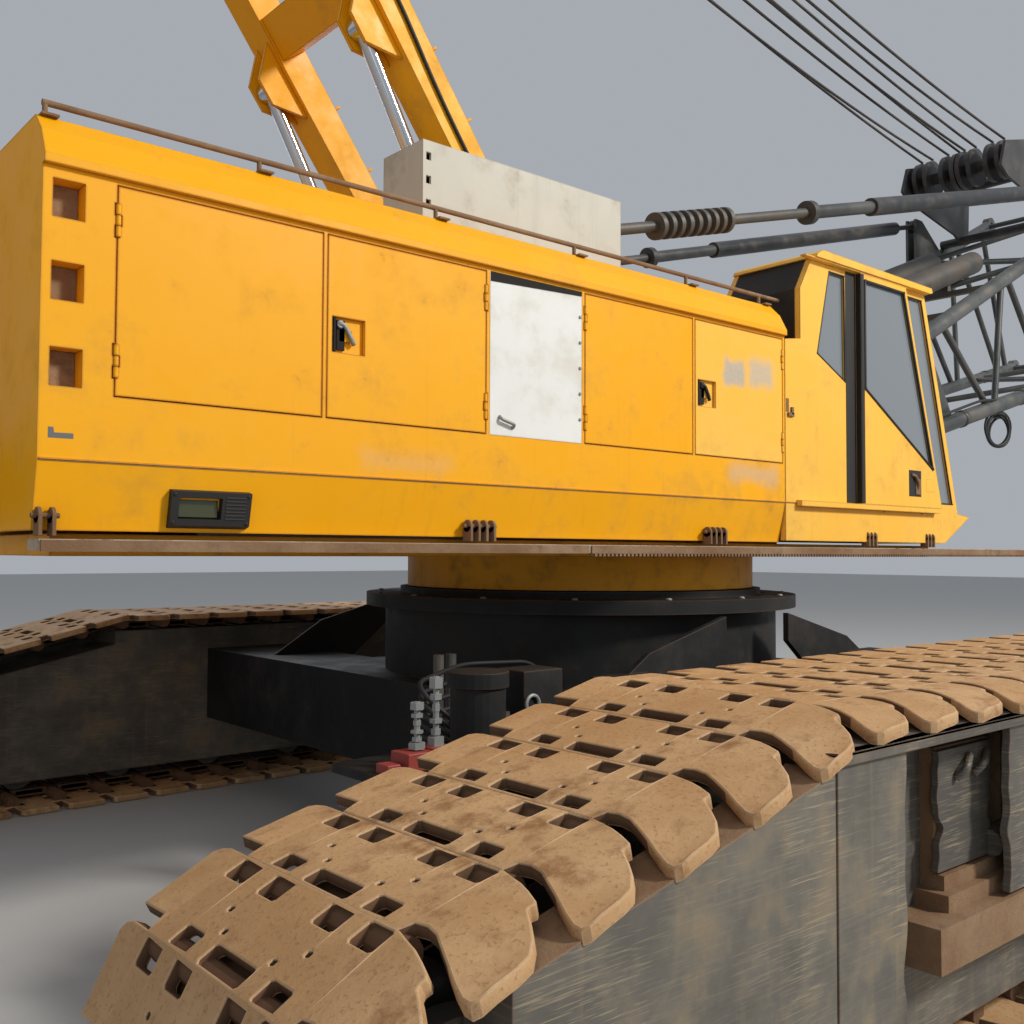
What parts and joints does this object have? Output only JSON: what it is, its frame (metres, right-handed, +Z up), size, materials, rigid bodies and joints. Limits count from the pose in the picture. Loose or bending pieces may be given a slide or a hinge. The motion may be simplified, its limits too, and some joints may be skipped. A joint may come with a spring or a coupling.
{
  "type": "crawler crane",
  "caption": "Lattice boom crawler crane on two wide tracks with a turning machine house, side cab, raised gantry and boom base section.",
  "frame": {"origin": "on the ground under the middle of the slewing ring", "axes": "+X towards the front, where the cab and boom are; +Y to the machine's left; +Z up"},
  "size_m": [13.4649, 7.24, 8.0768],
  "materials": {
    "yellow_paint": "faded gloss",
    "frame_yellow": "faded satin",
    "black_frame": "worn satin with dirt",
    "track_steel": "rusty cast steel",
    "rusty_steel": "rusted paint",
    "grey_sheet": "dull grey",
    "white_primer": "matt primer",
    "black_plastic": "matt",
    "chrome_rod": "polished",
    "dark_glass": "tinted",
    "seat_fabric": "woven",
    "boom_black": "worn satin",
    "lacing_grey": "worn paint",
    "wire_rope": "greased wire",
    "machine_grey": "dirty"
  },
  "bodies": {
    "lower_works": {"carbody": "black_frame", "side_frames": "black_frame", "track_right": "track_steel", "track_left": "track_steel", "track_wheels": "machine_grey", "travel_drives": "black_frame", "carbody_hydraulics": "machine_grey", "side_steps": "rusty_steel"},
    "upper_works": {"slew_drum": "frame_yellow", "upper_frame": "frame_yellow", "right_house": "yellow_paint", "primer_panel": "white_primer", "left_house": "yellow_paint", "side_lamp": "black_plastic", "walkways": "rusty_steel", "handrails": "rusty_steel", "sheet_box": "grey_sheet", "winches": "machine_grey", "engine_block": "machine_grey", "cab_roof": "yellow_paint", "cab_tub": "black_frame", "cab_outer_side": "yellow_paint", "cab_inner_side": "yellow_paint", "cab_front": "yellow_paint", "cab_glass": "dark_glass", "cab_seat": "seat_fabric"},
    "right_door_1": {"right_door_1": "yellow_paint"},
    "right_door_2": {"right_door_2": "yellow_paint"},
    "right_door_3": {"right_door_3": "yellow_paint"},
    "right_door_4": {"right_door_4": "yellow_paint"},
    "left_door_1": {"left_door_1": "yellow_paint"},
    "left_door_2": {"left_door_2": "yellow_paint"},
    "cab_door": {"cab_door": "yellow_paint", "cab_door_glass": "dark_glass"},
    "boom": {"boom_chords": "boom_black", "boom_lacing": "lacing_grey", "bridle": "boom_black"},
    "gantry": {"gantry_legs": "yellow_paint", "gantry_head": "black_frame"},
    "gantry_barrels": {"gantry_barrels": "frame_yellow"},
    "gantry_rods": {"gantry_rods": "chrome_rod"},
    "stay_tubes": {"stay_tubes": "frame_yellow"},
    "stay_rods": {"stay_rods": "machine_grey"},
    "backstop_rods": {"backstop_rods": "machine_grey"},
    "backstop_middles": {"backstop_middles": "lacing_grey"},
    "backstop_tubes": {"backstop_tubes": "boom_black"},
    "luffing_ropes": {"luffing_ropes": "wire_rope"}
  },
  "joints": [
    {"name": "slew", "type": "hinge", "parent": "lower_works", "child": "upper_works", "pos_m": [0, 0, 1.6], "axis": [0, 0, 1], "continuous": true},
    {"name": "right_door_1_hinge", "type": "hinge", "parent": "upper_works", "child": "right_door_1", "pos_m": [-3.773, -1.5, 2.765], "axis": [0, 0, -1], "range_deg": [0, 110]},
    {"name": "right_door_2_hinge", "type": "hinge", "parent": "upper_works", "child": "right_door_2", "pos_m": [-2.065, -1.5, 2.765], "axis": [0, 0, 1], "range_deg": [0, 110]},
    {"name": "right_door_3_hinge", "type": "hinge", "parent": "upper_works", "child": "right_door_3", "pos_m": [-1.413, -1.5, 2.765], "axis": [0, 0, -1], "range_deg": [0, 110]},
    {"name": "right_door_4_hinge", "type": "hinge", "parent": "upper_works", "child": "right_door_4", "pos_m": [0.277, -1.5, 2.765], "axis": [0, 0, 1], "range_deg": [0, 110]},
    {"name": "left_door_1_hinge", "type": "hinge", "parent": "upper_works", "child": "left_door_1", "pos_m": [-3.773, 1.5, 2.765], "axis": [0, 0, 1], "range_deg": [0, 110]},
    {"name": "left_door_2_hinge", "type": "hinge", "parent": "upper_works", "child": "left_door_2", "pos_m": [-1.413, 1.5, 2.765], "axis": [0, 0, 1], "range_deg": [0, 110]},
    {"name": "cab_door_slide", "type": "slide", "parent": "upper_works", "child": "cab_door", "axis": [-1, 0, 0], "range_m": [0, 0.62]},
    {"name": "boom_luff", "type": "hinge", "parent": "upper_works", "child": "boom", "pos_m": [0.9, 0, 2.37], "axis": [0, -1, 0], "range_deg": [-18, 58], "deforming": ["luffing_ropes"]},
    {"name": "gantry_fold", "type": "hinge", "parent": "upper_works", "child": "gantry", "pos_m": [-0.275, 0, 2.45], "axis": [0, -1, 0], "range_deg": [0, 35]},
    {"name": "gantry_barrel_swing", "type": "hinge", "parent": "upper_works", "child": "gantry_barrels", "pos_m": [-0.93, 0, 2.42], "axis": [0, -1, 0], "range_deg": [0, 43]},
    {"name": "gantry_rod_slide", "type": "slide", "parent": "gantry_barrels", "child": "gantry_rods", "axis": [-0.4783, 0, 0.8782], "range_m": [-0.3, 0]},
    {"name": "stay_swing", "type": "hinge", "parent": "upper_works", "child": "stay_tubes", "pos_m": [-4.45, 0, 2.3], "axis": [0, -1, 0], "range_deg": [0, 48]},
    {"name": "stay_slide", "type": "slide", "parent": "stay_tubes", "child": "stay_rods", "axis": [0.0377, 0, 0.9993], "range_m": [-2.45, 0]},
    {"name": "backstop_swing", "type": "hinge", "parent": "upper_works", "child": "backstop_rods", "pos_m": [-0.6, 0, 3.8], "axis": [0, -1, 0], "range_deg": [-18, 56]},
    {"name": "backstop_middle_slide", "type": "slide", "parent": "backstop_rods", "child": "backstop_middles", "axis": [0.9654, 0, 0.2607], "range_m": [-1, 0.32]},
    {"name": "backstop_tube_slide", "type": "slide", "parent": "backstop_middles", "child": "backstop_tubes", "axis": [0.9654, 0, 0.2607], "range_m": [-0.88, 0.29]},
    {"name": "rope_swing", "type": "hinge", "parent": "gantry", "child": "luffing_ropes", "pos_m": [-4.15898, 0, 7.74902], "axis": [0, -1, 0], "range_deg": [-8, 22]}
  ],
  "couplings": [
    {"joint": "gantry_barrel_swing", "follows": "gantry_fold", "ratio": 1.18},
    {"joint": "gantry_rod_slide", "follows": "gantry_fold", "m_per_rad": -0.465},
    {"joint": "stay_swing", "follows": "gantry_fold", "ratio": 1.326},
    {"joint": "stay_slide", "follows": "gantry_fold", "m_per_rad": -3.909},
    {"joint": "backstop_swing", "follows": "boom_luff", "ratio": 0.94},
    {"joint": "backstop_middle_slide", "follows": "boom_luff", "m_per_rad": -0.97},
    {"joint": "backstop_tube_slide", "follows": "boom_luff", "m_per_rad": -0.86},
    {"joint": "rope_swing", "follows": "boom_luff", "ratio": 0.33}
  ]
}
